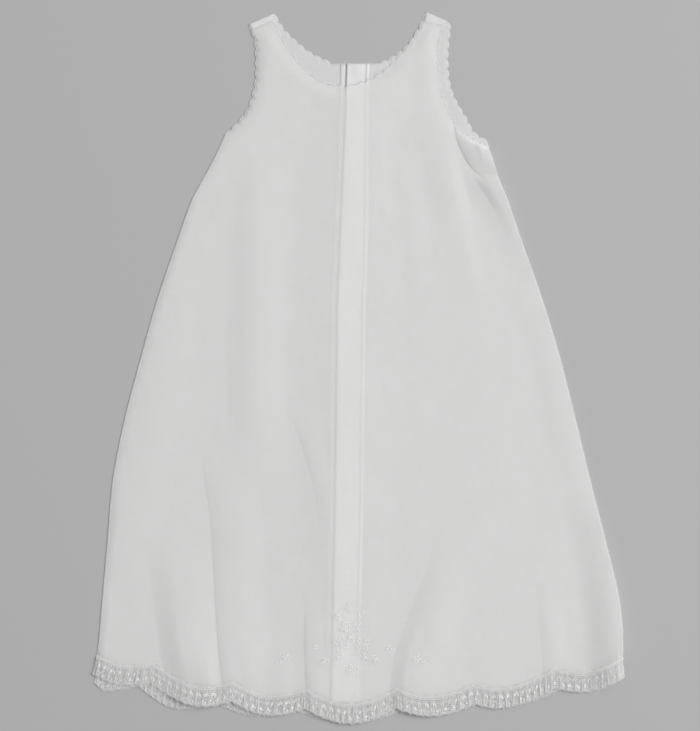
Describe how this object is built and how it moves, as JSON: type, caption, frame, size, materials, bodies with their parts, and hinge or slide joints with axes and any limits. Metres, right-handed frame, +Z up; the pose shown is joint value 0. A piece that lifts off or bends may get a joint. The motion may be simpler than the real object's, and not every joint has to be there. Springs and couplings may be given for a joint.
{
  "type": "christening gown",
  "caption": "Sleeveless A-line christening gown of fine white cotton, laid flat, with scalloped neck and armholes, a lapped back opening and gathered lace round a scalloped hem.",
  "frame": {"origin": "on the surface the gown lies on, under the middle of its bounding box", "axes": "+Z up off the surface, out of the front of the gown; +Y from the hem towards the neck; +X to the right of someone looking down on the front"},
  "size_m": [0.4562, 0.6102, 0.0083],
  "materials": {
    "lawn": "fine white cotton lawn, matt and slightly sheer",
    "lace": "white cotton lace, open net ground with cloth-work motifs",
    "button": "small off-white two-hole button, satin"
  },
  "bodies": {
    "root": {"front_panel": "lawn", "back_left": "lawn", "back_right": "lawn", "front_lace": "lace", "back_left_lace": "lace", "back_right_lace": "lace", "neck_button": "button"}
  },
  "joints": []
}
